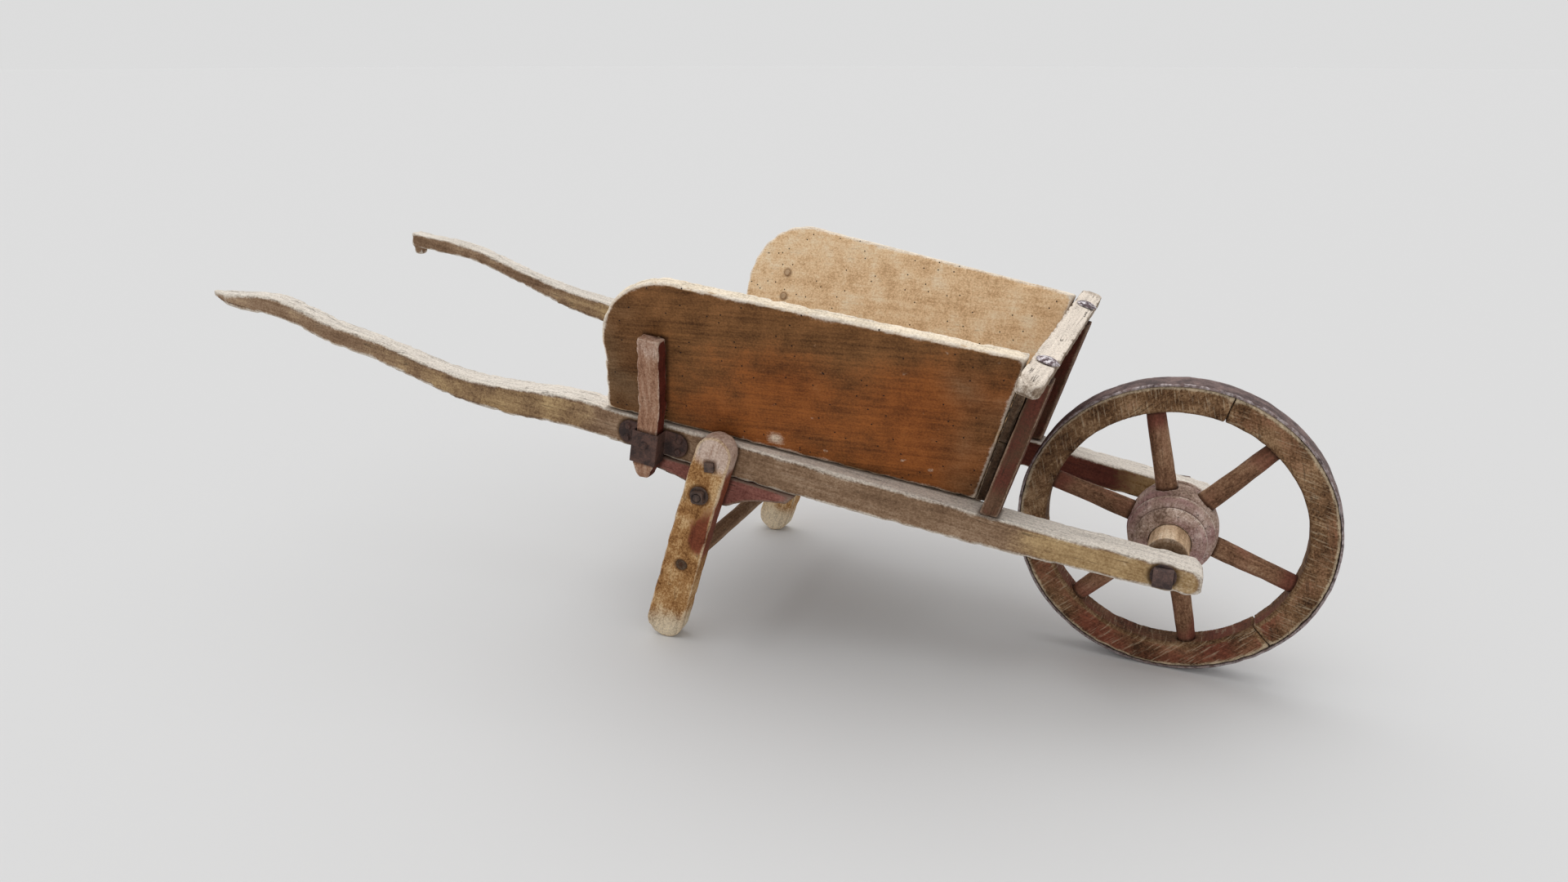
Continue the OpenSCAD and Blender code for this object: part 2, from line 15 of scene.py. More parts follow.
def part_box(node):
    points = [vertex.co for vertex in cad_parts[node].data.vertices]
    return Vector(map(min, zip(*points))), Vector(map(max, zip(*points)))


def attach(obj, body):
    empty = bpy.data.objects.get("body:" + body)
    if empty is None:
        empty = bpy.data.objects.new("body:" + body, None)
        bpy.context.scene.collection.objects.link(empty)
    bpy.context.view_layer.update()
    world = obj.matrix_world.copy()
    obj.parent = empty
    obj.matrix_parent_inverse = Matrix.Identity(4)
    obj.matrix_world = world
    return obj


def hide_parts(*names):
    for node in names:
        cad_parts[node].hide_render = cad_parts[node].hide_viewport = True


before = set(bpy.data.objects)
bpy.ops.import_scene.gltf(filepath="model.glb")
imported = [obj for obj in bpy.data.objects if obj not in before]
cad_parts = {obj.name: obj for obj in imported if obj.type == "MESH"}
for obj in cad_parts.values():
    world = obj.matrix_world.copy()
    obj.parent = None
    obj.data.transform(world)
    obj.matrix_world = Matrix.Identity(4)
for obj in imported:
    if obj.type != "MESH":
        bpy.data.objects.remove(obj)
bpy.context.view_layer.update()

# ---- The two shafts ----
# Each is one long ash pole, sawn square under the tray and shaved down to a round grip behind it.
# They splay towards the handles, rise at the slope of the tray, and carry everything else:
# rails, posts and legs are tenoned or bolted to them, and the wheel runs between their noses.

SPLAY = math.radians(3.78)  # plan angle of a shaft
SLOPE = math.radians(9.3)  # rise of the tray towards the handles


class Flow:
    """A socket of a material. Sums on it add Math nodes."""

    def __init__(self, finish, socket):
        self.finish = finish
        self.socket = socket

    def sum(self, operation, a, b):
        return self.finish.node("Math", {"operation": operation}, {0: a, 1: b})

    def __add__(self, other):
        return self.sum("ADD", self, other)

    def __radd__(self, other):
        return self.sum("ADD", other, self)

    def __sub__(self, other):
        return self.sum("SUBTRACT", self, other)

    def __rsub__(self, other):
        return self.sum("SUBTRACT", other, self)

    def __mul__(self, other):
        return self.sum("MULTIPLY", self, other)

    def __rmul__(self, other):
        return self.sum("MULTIPLY", other, self)

    def __abs__(self):
        return self.finish.node("Math", {"operation": "ABSOLUTE"}, {0: self})


class Finish:
    """One material under construction."""

    def __init__(self, name):
        self.material = bpy.data.materials.new(name)
        self.material.use_nodes = True
        self.tree = self.material.node_tree
        self.tree.nodes.clear()

    def node(self, kind, settings=None, inputs=None, out=0):
        """Adds a node, sets it up, joins its inputs, and gives one of its outputs."""
        made = self.tree.nodes.new("ShaderNode" + kind)
        for key, value in (settings or {}).items():
            if key == "stops":
                ramp = made.color_ramp.elements
                while len(ramp) < len(value):
                    ramp.new(0.5)
                for stop, (place, colour) in zip(ramp, value):
                    stop.position = place
                    stop.color = (*colour, 1)
            else:
                setattr(made, key, value)
        for key, value in (inputs or {}).items():
            if isinstance(value, Flow):
                self.tree.links.new(value.socket, made.inputs[key])
            elif isinstance(value, tuple) and made.inputs[key].type == "RGBA":
                made.inputs[key].default_value = (*value, 1)
            else:
                made.inputs[key].default_value = value
        return Flow(self, made.outputs[out]) if len(made.outputs) else None

    def read(self, name, out="Fac"):
        return self.node("Attribute", {"attribute_name": name}, {}, out)

    def stretch(self, place, by):
        return self.node("VectorMath", {"operation": "MULTIPLY"}, {0: place, 1: by})

    def shift(self, place, by):
        return self.node("VectorMath", {"operation": "ADD"}, {0: place, 1: by})

    def noise(self, place, scale, detail=3, rough=0.55, warp=0.0):
        inputs = {"Vector": place, "Scale": scale, "Detail": detail}
        inputs.update({"Roughness": rough, "Distortion": warp})
        return self.node("TexNoise", {}, inputs, "Fac")

    def step(self, value, low, high):
        """0 below low, 1 above high, smooth between."""
        settings = {"interpolation_type": "SMOOTHSTEP"}
        return self.node("MapRange", settings, {0: value, 1: low, 2: high})

    def ramp(self, value, *stops):
        return self.node("ValToRGB", {"stops": stops}, {0: value})

    def lay(self, mask, under, over, how="MIX"):
        """Colour over on colour under, where mask is 1."""
        settings = {"data_type": "RGBA", "blend_type": how}
        return self.node("Mix", settings, {0: mask, 6: under, 7: over}, 2)

    def close(self, colour, rough, height, depth=0.0008, metal=0.0, shine=0.3):
        """Joins the shader up and gives the finished material."""
        bump = self.node("Bump", {}, {"Strength": 0.7, "Distance": depth, "Height": height})
        inputs = {"Base Color": colour, "Roughness": rough, "Normal": bump}
        inputs.update({"Metallic": metal, "Specular IOR Level": shine})
        shader = self.node("BsdfPrincipled", {}, inputs)
        self.node("OutputMaterial", {}, {"Surface": shader})
        return self.material


def dimmed(colour, share):
    return tuple(c * share for c in colour)


CRACK_SHADE = (0.03, 0.018, 0.011)
HOLE_SHADE = (0.022, 0.012, 0.008)
SAW_SHADOW = (0.45, 0.38, 0.34)
SPECKLE = (0.55, 0.5, 0.47)
SAW_SLANT = 1.05  # radians


def wood(name, tones, pale, worn, grime_and_shade, coats=(), seed=0.0, checks=0.6, holes=0.0,
         mottle=0.5, dull=0.85, strokes=0.0, fleck=0.4):
    """Old wood. tones are its dark, middle and light colours. It turns pale where its bleach note
    says, partly from bleaching and partly as painted light on faces that look up, wears to the
    colour worn on its arrises, and darkens with its grime colour in joints and hollows, partly dirt
    and partly painted shade.
    coats are (attribute, dark colour, light colour, crispness) for paint or stain on top.
    checks and holes are how many cracks and worm holes it has, mottle how blotchy it is, dull its
    roughness, strokes the slanting marks of the saw, painted as stripes of highlight and of shadow,
    and fleck its fine speckle."""
    f = Finish(name)
    at = f.shift(f.read("grain", "Vector"), (seed, seed * 0.7, seed * 1.3))
    fibre = f.noise(f.stretch(at, (7, 210, 210)), 1.0, 5, 0.65)
    band = f.noise(f.stretch(at, (2.4, 36, 36)), 1.0, 3, 0.5, 0.7)
    patch = f.noise(at, 26, 5, 0.62)
    grit = f.noise(at, 340, 4, 0.7)
    speck = f.noise(f.stretch(at, (260, 520, 520)), 1.0, 3, 0.75)
    streak = 1 - 0.6 * min(mottle, 1)
    blend = (fibre + band) * (0.35 * streak) + (patch * 0.42 + grit * 0.3) * mottle + speck * 0.16
    middle = 0.35 * streak + 0.36 * mottle + 0.08
    body = f.ramp(blend, (middle - 0.1, tones[0]), (middle, tones[1]), (middle + 0.1, tones[2]))
    # unevenness round 0, which frays the border of every layer
    stir = fibre * 0.25 + band * 0.2 + patch * 0.9 + grit * 0.35 + speck * 0.2 - 0.95
    colour = body
    rough = fibre * 0.2 + (dull - 0.1)
    arris = f.read("arris")
    for attribute, deep, light, crisp in coats:
        cover = f.read(attribute) + stir * 0.9 - f.step(arris, 0.25, 0.9) * 0.5
        mask = f.step(cover, 0.5 - 0.3 / crisp, 0.5 + 0.3 / crisp)
        tint = f.ramp(patch * 0.4 + grit * 0.3 + fibre * 0.3, (0.39, deep), (0.6, light))
        colour = f.lay(mask, colour, tint)
        rough = rough - mask * 0.1
    # the pale layer is partly bleaching and partly painted light
    bleach = f.step(f.read("bleach") + stir * 0.9, 0.3, 0.8)
    faded_and_lit = f.ramp(fibre * 0.4 + grit * 0.4 + band * 0.2, (0.38, dimmed(pale, 0.6)),
                   (0.52, pale), (0.62, dimmed(pale, 1.12)))
    colour = f.lay(bleach * 0.94, colour, faded_and_lit)
    # saw marks painted as pale highlight stripes beside dark shadow stripes
    if strokes:
        slant = f.node("VectorRotate", {"rotation_type": "Z_AXIS"},
                       {"Vector": at, "Angle": SAW_SLANT})
        mark = f.noise(f.stretch(slant, (34, 420, 34)), 1.0, 3, 0.6)
        colour = f.lay(f.step(mark, 0.54, 0.68) * strokes, colour, dimmed(worn, 0.85))
        colour = f.lay(f.step(mark, 0.47, 0.36) * strokes, colour, SAW_SHADOW, "MULTIPLY")
    rub = f.step(arris * 0.85 + stir * 1.3, 0.34, 0.85) * f.read("wear")
    rubbed = f.ramp(grit * 0.5 + fibre * 0.5, (0.4, dimmed(worn, 0.7)), (0.56, worn))
    colour = f.lay(rub, colour, rubbed)
    # joints and hollows are darkened, partly with dirt and partly as painted shade
    dirt_and_shade = f.step(f.read("seam") + stir * 0.6 + f.step(arris, -0.2, -0.8) * 0.5, 0.35, 1.0)
    colour = f.lay(dirt_and_shade * 0.8, colour, grime_and_shade, "MULTIPLY")
    shade = f.ramp(grit * 0.55 + speck * 0.45, (0.38, SPECKLE), (0.56, (1, 1, 1)))
    colour = f.lay(fleck, colour, shade, "MULTIPLY")
    vein = f.noise(f.stretch(at, (3.5, 85, 85)), 1.0, 2, 0.5)
    split = (1 - f.step(abs(vein - 0.5), 0.0, 0.014)) * f.step(patch, 0.5, 0.58) * checks
    # cracks are painted near black as the shade inside them
    colour = f.lay(split, colour, CRACK_SHADE)
    height = fibre * 0.4 + speck * 0.35 + patch * 0.4 + grit * 0.6 - split * 0.9
    if holes:
        cells = {"Vector": at, "Scale": 62}
        near = f.node("TexVoronoi", {"voronoi_dimensions": "2D"}, cells)
        middle_of = f.node("TexVoronoi", {"voronoi_dimensions": "2D"}, cells, "Position")
        lot = f.node("TexWhiteNoise", {"noise_dimensions": "3D"}, {"Vector": middle_of}, "Value")
        bore = (1 - f.step(near, 0.05, 0.085)) * f.step(lot, 1 - holes, 1.001 - holes)
        # worm holes are painted near black as the shade inside them
        colour = f.lay(bore, colour, HOLE_SHADE)
        height = height - bore * 1.5
    return f.close(colour, rough, height, shine=0.16)


def side_name(hand):
    return "right" if hand < 0 else "left"


def board_axes(along, up):
    """Rows of a piece's own axes: along the grain, across it, and out of its face."""
    along = Vector(along).normalized()
    across = Vector(up).cross(along).normalized()
    return Matrix((along, across, along.cross(across)))


def shaft_axes(hand):
    """hand is -1 for the right shaft and 1 for the left."""
    run = (-math.cos(SPLAY), hand * math.sin(SPLAY), math.tan(SLOPE))
    return board_axes(run, (0, 0, 1))


def carve(name, node, axes, grid=0.003):
    """A copy of a CAD piece with an even skin of small faces that follow its own axes."""
    work = bmesh.new()
    work.from_mesh(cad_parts[node].data)
    bmesh.ops.remove_doubles(work, verts=work.verts, dist=1e-5)
    work.transform(axes.to_4x4())
    blank = bpy.data.meshes.new(name)
    work.to_mesh(blank)
    work.free()
    piece = bpy.data.objects.new(name, blank)
    bpy.context.scene.collection.objects.link(piece)
    skin = piece.modifiers.new("skin", "REMESH")
    skin.mode = "VOXEL"
    skin.voxel_size = grid
    view = bpy.context.evaluated_depsgraph_get()
    piece.data = bpy.data.meshes.new_from_object(piece.evaluated_get(view))
    piece.modifiers.clear()
    bpy.data.meshes.remove(blank)
    piece.data.transform(axes.transposed().to_4x4())
    piece.data.name = name
    piece.data.materials.clear()
    for face in piece.data.polygons:
        face.use_smooth = True
    return piece


def points(mesh):
    co = np.empty(len(mesh.vertices) * 3, np.float32)
    mesh.vertices.foreach_get("co", co)
    return co.reshape(-1, 3).astype(float)


def normals(mesh):
    n = np.empty(len(mesh.vertices) * 3, np.float32)
    mesh.vertex_normals.foreach_get("vector", n)
    return n.reshape(-1, 3).astype(float)


def soften(co, ends, passes):
    """Draws each point halfway to the mean of its neighbours, which rounds the arrises."""
    a, b = ends
    count = len(co)
    near = np.bincount(a, minlength=count) + np.bincount(b, minlength=count)
    for _ in range(passes):
        mean = np.stack([np.bincount(a, co[b, k], count) + np.bincount(b, co[a, k], count)
                         for k in range(3)], 1) / near[:, None]
        co = co + (mean - co) * 0.5
    return co


def place_points(piece, co):
    piece.data.vertices.foreach_set("co", co.astype(np.float32).ravel())


def drift(co, size, seed=0.0):
    """Smooth noise from -1 to 1 with lumps of about this size."""
    return np.array([noise.noise(Vector(p)) for p in co / size + seed * 7.3])


DENT_SIZE = 0.045
CHIP_SIZE = 0.014
BLUNTING = 22  # passes that flatten an arris, to measure how sharp it was
SHARP_EDGE = 0.0022  # how far a square arris stands above its blunted self
SEAM_REACH = 0.008  # how far from a joint grime and painted shade reach


def weather(piece, node, axes, passes=2, chip=0.0012, wave=0.0006, seed=0.0, swell=0.0):
    """Rounds a piece, dents it by wave and chips its arrises, and notes where it wears. swell makes
    up for the wood that rounding takes off. The notes are grain, the place along and across the
    wood, arris, how sharp the edge is, seam, how near another piece lies, which darkens it with
    grime and painted shade, and wear, how much a sharp edge is rubbed."""
    mesh = piece.data
    ends = np.empty(len(mesh.edges) * 2, np.int32)
    mesh.edges.foreach_get("vertices", ends)
    ends = ends.reshape(-1, 2).T
    co = soften(points(mesh), ends, passes)
    place_points(piece, co)
    mesh.update()
    out = normals(mesh)
    sharp = ((co - soften(co, ends, BLUNTING)) * out).sum(1) / SHARP_EDGE
    edge = np.clip(sharp, 0, 1)
    low = drift(co, DENT_SIZE, seed) * 0.5 + 0.5
    bite = np.clip(drift(co, CHIP_SIZE, seed + 3) * 1.6, 0, 1)
    co = co + out * (swell - wave * low - chip * bite * edge)[:, None]
    place_points(piece, co)
    mesh.update()
    # no grime and no painted shade is laid round the heads of the coach bolts
    others = [o for n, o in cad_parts.items() if n not in (node, "top_rail_coach_bolts")]
    corners, faces = [], []
    for other in others:
        start = len(corners)
        corners += [v.co for v in other.data.vertices]
        faces += [tuple(start + i for i in p.vertices) for p in other.data.polygons]
    tree = BVHTree.FromPolygons(corners, faces)
    gaps = [tree.find_nearest(Vector(p), SEAM_REACH)[3] for p in co]
    seam = np.array([0 if g is None else 1 - g / SEAM_REACH for g in gaps])
    notes(piece, arris=sharp, seam=seam, wear=0.8)
    place = mesh.attributes.new("grain", "FLOAT_VECTOR", "POINT")
    local = (co + seed * 0.37) @ np.array(axes).T
    place.data.foreach_set("vector", local.astype(np.float32).ravel())
    return co, normals(mesh)


def notes(piece, **values):
    """Stores numbers on a piece's points for its material to read."""
    for name, value in values.items():
        mesh = piece.data
        held = mesh.attributes.get(name) or mesh.attributes.new(name, "FLOAT", "POINT")
        spread = np.broadcast_to(value, (len(mesh.vertices),))
        held.data.foreach_set("value", np.ascontiguousarray(spread, np.float32))


def between(x, low, high):
    """0 below low, 1 above high, smooth between. low may be the larger."""
    t = np.clip((x - low) / (high - low), 0, 1)
    return t * t * (3 - 2 * t)


def settle(piece, node, body, material):
    """Puts a finished piece in its node's place on a body."""
    piece.data.materials.append(material)
    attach(piece, body)
    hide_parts(node)


shaft_wood = wood(
    "shaft_wood", ((0.125, 0.068, 0.037), (0.27, 0.168, 0.1), (0.43, 0.3, 0.2)),
    pale=(0.8, 0.74, 0.66), worn=(0.84, 0.77, 0.67), grime_and_shade=(0.2, 0.145, 0.11), seed=1.0,
    mottle=0.6,
    coats=[("honey", (0.27, 0.155, 0.06), (0.56, 0.39, 0.2), 1.2),
           ("paint", (0.075, 0.018, 0.012), (0.19, 0.055, 0.035), 2.2)])

for hand, node in ((-1, "shaft_right"), (1, "shaft_left")):
    axes = shaft_axes(hand)
    shaft = carve(side_name(hand) + "_shaft", node, axes, 0.0026)
    co, out = weather(shaft, node, axes, seed=2.0 + hand, passes=1, wave=0.0009, chip=0.0022,
                      swell=0.0006)
    side = out[:, 1] * hand  # 1 on the outer face, -1 on the inner
    x = co[:, 0]
    sky = np.clip(out[:, 2], 0, 1)
    handle = between(x, -0.12, -0.4)
    nose = between(x, 0.5, 0.66)
    under_tray = between(x, 0.45, 0.3) * between(x, -0.1, 0.05)
    belly = between(out[:, 2], -0.3, -0.9)
    # faces that look up are paler, partly bleached and partly painted light; the underside and the
    # faces under the tray are kept darker, partly as painted shade
    bleach = 0.08 + 0.9 * between(sky, 0.35, 0.8) + 0.02 * handle + 0.25 * nose
    bleach -= 0.35 * belly
    bleach -= 0.3 * under_tray * (1 - sky)
    # old varnish lasts on the flanks, in front of the tray and where the handles begin
    honey = 0.75 * between(x, 0.38, 0.52) + 0.55 * between(x, -0.1, -0.2)
    honey -= 0.3 * between(x, -0.35, -0.6)
    # red paint lasts on the inner faces, and underneath beside the legs
    paint = 0.78 * between(side, -0.4, -0.9) * between(x, 0.66, 0.5) * between(x, -0.2, 0.1)
    paint += 0.55 * between(out[:, 2], -0.5, -0.9) * between(x, 0.2, -0.05)
    notes(shaft, bleach=bleach, honey=honey * (1 - sky), paint=paint)
    settle(shaft, node, "frame", shaft_wood)

# ---- Cross rails and tray floor ----
# Three sawn rails are tenoned between the shafts, and four boards lie lengthwise on them.
# They were never painted, and soil and rain have turned them a dusty brown.

floor_wood = wood(
    "floor_wood", ((0.15, 0.1, 0.062), (0.28, 0.2, 0.132), (0.42, 0.32, 0.22)),
    pale=(0.5, 0.42, 0.33), worn=(0.52, 0.43, 0.33), grime_and_shade=(0.2, 0.155, 0.12), seed=4.0,
    holes=0.08, mottle=0.8)

for number, node in enumerate(("front_cross_rail", "middle_cross_rail", "rear_cross_rail")):
    axes = board_axes((0, 1, 0), (math.sin(SLOPE), 0, math.cos(SLOPE)))
    rail = carve(node.replace("cross_rail", "rail"), node, axes, 0.004)
    weather(rail, node, axes, seed=11.0 + number)
    notes(rail, bleach=0.1)
    settle(rail, node, "frame", floor_wood)

for number in range(1, 5):
    node = f"floor_board_{number}"
    axes = board_axes((-math.cos(SLOPE), 0, math.sin(SLOPE)), (math.sin(SLOPE), 0, math.cos(SLOPE)))
    plank = carve(f"tray_board_{number}", node, axes, 0.0035)
    co, out = weather(plank, node, axes, seed=20.0 + number, wave=0.0009, passes=2)
    # faces that look up are paler, partly bleached and partly painted light
    notes(plank, bleach=0.3 * np.clip(out[:, 2], 0, 1) + 0.1 * drift(co, 0.09))
    settle(plank, node, "frame", floor_wood)


def iron(name, dark, rust, bright, seed=0.0, polish_and_glint=0.0, glint=1.2):
    """Old wrought iron: dark skin, rust in patches, and bare metal on worn edges. polish lays
    bright patches on flat faces too, and glint is how patchy they are; these bright patches are
    painted highlights as well as bare metal."""
    f = Finish(name)
    at = f.shift(f.node("TexCoord", {}, {}, "Object"), (seed, seed, seed))
    patch = f.noise(at, 55, 5, 0.65)
    pits = f.noise(at, 420, 4, 0.7)
    bloom = f.noise(at, 160, 4, 0.6)
    colour = f.ramp(patch * 0.6 + pits * 0.4, (0.42, dark), (0.6, rust))
    bare_and_glint = f.step(f.read("arris") * 0.8 + (bloom - 0.5) * glint + polish_and_glint, 0.5, 1.0)
    colour = f.lay(bare_and_glint * 0.8, colour, bright)
    # joints are darkened, partly with grime and partly as painted shade
    dirt_and_shade = f.step(f.read("seam") + (bloom - 0.5) * 0.9, 0.5, 1.1)
    colour = f.lay(dirt_and_shade * 0.6, colour, (0.25, 0.2, 0.18), "MULTIPLY")
    rough = 0.72 - bare_and_glint * 0.34 + (pits - 0.5) * 0.3
    return f.close(colour, rough, patch * 0.6 + pits * 0.8, 0.0009, bare_and_glint * 0.6 + 0.25, 0.45)


def dress_cad(node, material, round_off):
    """Keeps a small CAD piece, with its edges rounded and its material changed."""
    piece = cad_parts[node]
    piece.data.materials.clear()
    piece.data.materials.append(material)
    edge = piece.modifiers.new("edge", "BEVEL")
    edge.width = round_off
    edge.segments = 2
    edge.limit_method = "ANGLE"
    edge.angle_limit = math.radians(40)


nail_iron = iron("nail_iron", (0.045, 0.032, 0.03), (0.12, 0.065, 0.045), (0.3, 0.27, 0.26), 1.0)
dress_cad("floor_nails", nail_iron, 0.0004)

# ---- Headboard, posts and top rail ----
# Two thin planks lean forward between the side boards, nailed to a pair of square posts that
# stand on the shafts. They were painted red in front. A thick rail caps the posts, and a
# coach bolt with a worn round head goes down through it into each post.

LEAN = math.radians(16.5)
lean_up = (math.sin(LEAN), 0, math.cos(LEAN))
lean_out = (math.cos(LEAN), 0, -math.sin(LEAN))

headboard_wood = wood(
    "headboard_wood", ((0.16, 0.1, 0.055), (0.33, 0.22, 0.125), (0.5, 0.36, 0.225)),
    pale=(0.56, 0.46, 0.34), worn=(0.5, 0.4, 0.3), grime_and_shade=(0.2, 0.15, 0.115), seed=6.0,
    holes=0.1, mottle=0.9,
    coats=[("paint", (0.06, 0.012, 0.008), (0.17, 0.045, 0.028), 2.0),
           ("soot", (0.03, 0.015, 0.008), (0.11, 0.062, 0.034), 1.5)])

for number, node in enumerate(("lower_headboard_plank", "upper_headboard_plank")):
    axes = board_axes((0, 1, 0), lean_out)
    plank = carve(("lower" if number == 0 else "upper") + "_plank", node, axes, 0.0026)
    co, out = weather(plank, node, axes, passes=2, seed=30.0 + number, chip=0.0008)
    front = out[:, 0] * lean_out[0] + out[:, 2] * lean_out[2]
    end = between(abs(out[:, 1]), 0.3, 0.6)
    # the plank ends are darker
    notes(plank, wear=0.15, paint=0.85 * between(front, 0.3, 0.8), soot=1.2 * end,
          bleach=0.3 * between(front, -0.4, -0.9) + 0.15 * drift(co, 0.05))
    settle(plank, node, "frame", headboard_wood)
dress_cad("headboard_nails", nail_iron, 0.0004)

post_wood = wood(
    "post_wood", ((0.07, 0.036, 0.02), (0.14, 0.075, 0.043), (0.25, 0.155, 0.1)),
    pale=(0.42, 0.32, 0.25), worn=(0.36, 0.25, 0.18), grime_and_shade=(0.2, 0.14, 0.11), seed=7.0,
    coats=[("paint", (0.045, 0.01, 0.007), (0.15, 0.045, 0.028), 1.8)])

for hand, node in ((-1, "front_post_right"), (1, "front_post_left")):
    axes = board_axes(lean_up, lean_out)
    post = carve(side_name(hand) + "_post", node, axes, 0.0025)
    co, out = weather(post, node, axes, seed=33.0 + hand, chip=0.0016)
    # faces that look up are paler, partly bleached and partly painted light
    notes(post, paint=0.55 + 0.25 * drift(co, 0.04), bleach=0.35 * between(out[:, 2], 0.2, 0.9))
    settle(post, node, "frame", post_wood)

rail_wood = wood(
    "rail_wood", ((0.16, 0.11, 0.075), (0.34, 0.26, 0.19), (0.56, 0.47, 0.38)),
    pale=(0.9, 0.8, 0.69), worn=(0.86, 0.76, 0.65), grime_and_shade=(0.2, 0.145, 0.115), seed=8.0,
    mottle=1.0, checks=0.9)
axes = board_axes((0, 1, 0), lean_up)
rail = carve("cap_rail", "top_rail", axes, 0.0024)
co, out = weather(rail, "top_rail", axes, seed=36.0, chip=0.0045, wave=0.0016)
top = out[:, 0] * lean_up[0] + out[:, 2] * lean_up[2]
end_grain = between(abs(co[:, 1]), 0.215, 0.25)
# the top is paler, partly bleached and partly painted light
notes(rail, bleach=0.15 + 0.75 * between(top, 0.1, 0.8) - 0.35 * end_grain)
settle(rail, "top_rail", "frame", rail_wood)

# the bright patches on the bolt heads are painted highlights as well as rubbed metal
steel_with_painted_glints = iron("steel_with_painted_glints", (0.1, 0.07, 0.08), (0.2, 0.13, 0.14), (0.95, 0.9, 0.93),
                    2.0, polish_and_glint=0.62, glint=4.0)
bolts = carve("rail_bolts", "top_rail_coach_bolts", Matrix.Identity(3), 0.001)
weather(bolts, "top_rail_coach_bolts", Matrix.Identity(3), passes=2, seed=38.0, chip=0.0003)
settle(bolts, "top_rail_coach_bolts", "frame", steel_with_painted_glints)

# ---- Belly blocks ----
# A wedge of hardwood is fixed up under each shaft, behind the leg.
# Its red paint has lasted, because the shaft keeps the rain off.

block_wood = wood(
    "block_wood", ((0.13, 0.07, 0.045), (0.25, 0.15, 0.1), (0.38, 0.26, 0.19)),
    pale=(0.36, 0.29, 0.24), worn=(0.27, 0.19, 0.15), grime_and_shade=(0.24, 0.17, 0.14), seed=9.0,
    coats=[("paint", (0.14, 0.042, 0.032), (0.34, 0.14, 0.11), 1.6)])
for hand, node in ((-1, "belly_block_right"), (1, "belly_block_left")):
    axes = shaft_axes(hand)
    block = carve(side_name(hand) + "_block", node, axes, 0.0025)
    weather(block, node, axes, seed=40.0 + hand)
    notes(block, paint=0.8, bleach=0.1)
    settle(block, node, "frame", block_wood)

# ---- Legs and rung ----
# Two flat ash legs are bolted to the outside of the shafts, chamfered along their edges and
# raked back to the feet. A thin cleft rung with round tenons ties them together low down.

leg_wood = wood(
    "leg_wood", ((0.17, 0.066, 0.019), (0.42, 0.215, 0.078), (0.7, 0.47, 0.24)),
    pale=(0.78, 0.66, 0.48), worn=(0.72, 0.56, 0.38), grime_and_shade=(0.24, 0.155, 0.105), seed=12.0,
    mottle=1.15, checks=0.5,
    coats=[("paint", (0.1, 0.022, 0.009), (0.3, 0.085, 0.04), 2.4),
           ("ash", (0.42, 0.27, 0.2), (0.8, 0.65, 0.55), 0.7)])


def hump(x, middle, width):
    """1 at the middle, fading to 0 about two widths away."""
    return np.exp(-((x - middle) / width) ** 2)


for hand, node in ((-1, "leg_right"), (1, "leg_left")):
    run = Vector((0.1, 0, 0.32)).normalized()
    axes = board_axes(run, (0, hand, 0))
    leg = carve(side_name(hand) + "_leg", node, axes, 0.0022)
    co, out = weather(leg, node, axes, seed=44.0 + hand, chip=0.0018, wave=0.0009, swell=0.0004)
    z = co[:, 2]
    low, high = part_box(node)
    forward = co[:, 0] - (low.x + high.x) / 2 - (z - 0.16) * run.x / run.z  # across the leg
    face = between(out[:, 1] * hand, 0.3, 0.8)
    # two stains of red paint on the face, and more on the front edge and the back
    blot = hump(z, 0.178, 0.03) * between(forward, -0.014, 0.012)
    blot += 0.4 * hump(z, 0.225, 0.03)
    paint = 0.85 * blot * face + 0.75 * between(out[:, 0], 0.3, 0.7) * between(z, 0.1, 0.17)
    paint += 0.45 * between(out[:, 1] * hand, -0.3, -0.8) * between(z, 0.08, 0.2)
    notes(leg, paint=paint, ash=0.9 * between(z + 0.4 * forward, 0.278, 0.306),
          bleach=0.75 * between(z, 0.085, 0.0) + 0.1)
    settle(leg, node, "frame", leg_wood)

rung_wood = wood(
    "rung_wood", ((0.1, 0.052, 0.028), (0.25, 0.145, 0.082), (0.42, 0.28, 0.18)),
    pale=(0.5, 0.41, 0.32), worn=(0.42, 0.33, 0.24), grime_and_shade=(0.22, 0.155, 0.12), seed=13.0,
    coats=[("paint", (0.085, 0.02, 0.012), (0.22, 0.07, 0.045), 2.0)])
axes = board_axes((0, 1, 0), (0, 0, 1))
rung = carve("rung", "leg_stretcher", axes, 0.0022)
co, out = weather(rung, "leg_stretcher", axes, seed=46.0, wave=0.0014, swell=0.0014)
reach_out = abs(co[:, 1])
tip = reach_out.max()
tenon_end = between(reach_out, tip - 0.0025, tip - 0.001)
co[:, 1] -= np.sign(co[:, 1]) * 0.0035 * tenon_end  # cut off just below the face of the leg
place_points(rung, co)
# the sunk tenon ends are darkened as painted shade in the mortise of the leg, and faces that look
# up are paler, partly bleached and partly painted light
notes(rung, bleach=0.02 + 0.2 * np.clip(out[:, 2], 0, 1) - tenon_end,
      seam=1.4 * between(reach_out, tip - 0.006, tip - 0.003),
      paint=0.5 * between(reach_out, 0.13, 0.17))
settle(rung, "leg_stretcher", "frame", rung_wood)

# ---- Bolts of the legs ----
# A heavy forged bolt with a square nut on a round washer clamps each leg, and a small
# square-headed one sits above it.

